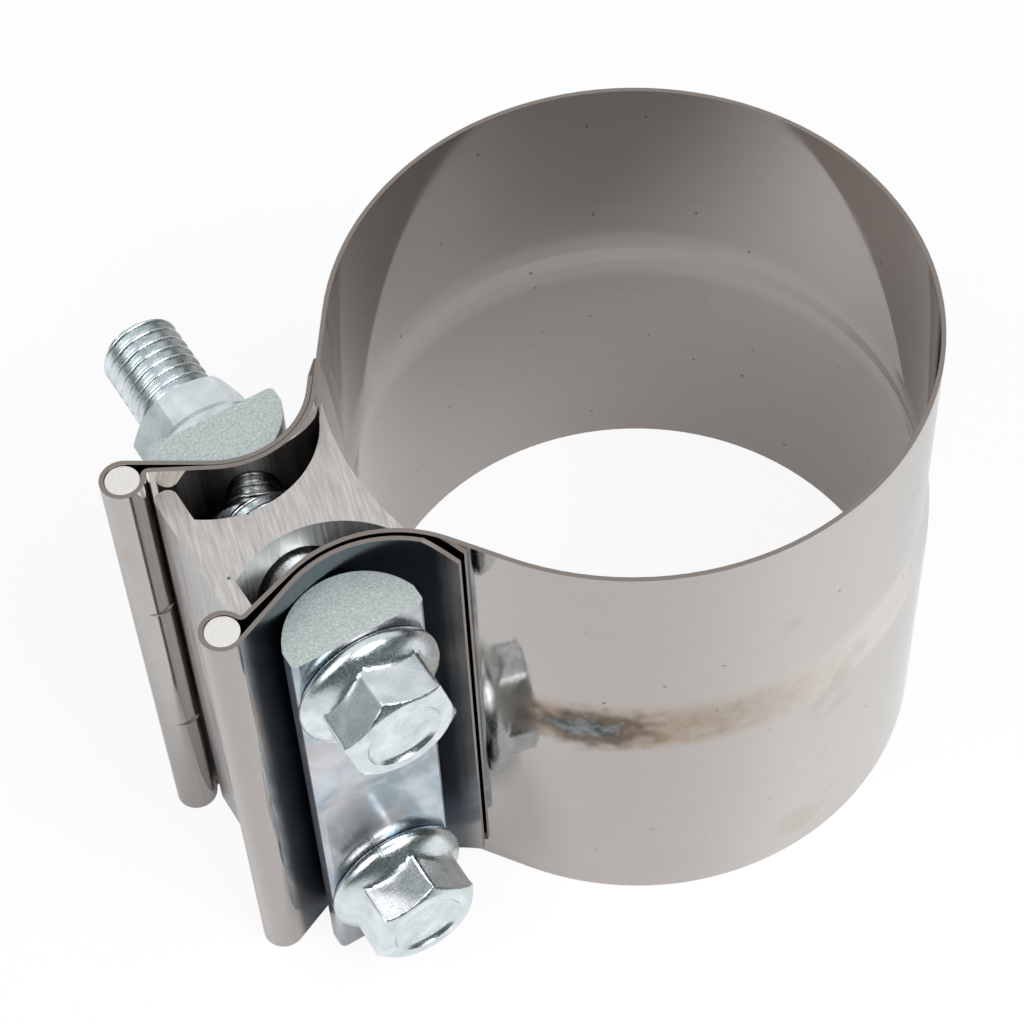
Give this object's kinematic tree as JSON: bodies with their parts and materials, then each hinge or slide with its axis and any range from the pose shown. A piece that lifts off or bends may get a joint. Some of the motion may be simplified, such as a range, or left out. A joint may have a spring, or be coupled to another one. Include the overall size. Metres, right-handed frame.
{
  "type": "lap joint clamp",
  "caption": "Stepped stainless band clamp for a lapped pipe joint, with flared ears on rods, half round bars, a reaction block and flange bolts with nuts.",
  "frame": {"origin": "on the large bore's axis, in the plane of its edge", "axes": "+Z along the bores from the large one to the small one, -X towards the ears, bolts along Y with their heads at -Y"},
  "size_m": [0.1251, 0.0925, 0.0889],
  "materials": {
    "stainless_sheet": "cold rolled stainless sheet, semi-bright",
    "rod_wire": "drawn rod, saw cut ends",
    "block_metal": "extruded aluminium, saw cut ends",
    "bar_steel": "zinc plated half round bar, sheared ends",
    "fastener_zinc": "bright zinc plate"
  },
  "bodies": {
    "clamp": {"band": "stainless_sheet", "far_rod": "rod_wire", "near_rod": "rod_wire", "reaction_block": "block_metal", "near_bar": "bar_steel", "far_bar": "bar_steel"},
    "upper_bolt": {"upper_bolt": "fastener_zinc"},
    "lower_bolt": {"lower_bolt": "fastener_zinc"},
    "upper_nut": {"upper_nut": "fastener_zinc"},
    "lower_nut": {"lower_nut": "fastener_zinc"}
  },
  "joints": [
    {"name": "upper_bolt_turn", "type": "hinge", "parent": "clamp", "child": "upper_bolt", "pos_m": [-0.05962, -0.0232, 0.07315], "axis": [0, -1, 0], "range_deg": [0, 2880]},
    {"name": "upper_nut_travel", "type": "slide", "parent": "clamp", "child": "upper_nut", "axis": [0, 1, 0], "range_m": [0, 0.01565]},
    {"name": "lower_bolt_turn", "type": "hinge", "parent": "clamp", "child": "lower_bolt", "pos_m": [-0.05962, -0.0232, 0.01575], "axis": [0, -1, 0], "range_deg": [0, 2880]},
    {"name": "lower_nut_travel", "type": "slide", "parent": "clamp", "child": "lower_nut", "axis": [0, 1, 0], "range_m": [0, 0.01565]}
  ],
  "couplings": [
    {"joint": "upper_nut_travel", "follows": "upper_bolt_turn", "m_per_rad": 0.00031096},
    {"joint": "lower_nut_travel", "follows": "lower_bolt_turn", "m_per_rad": 0.00031096}
  ]
}
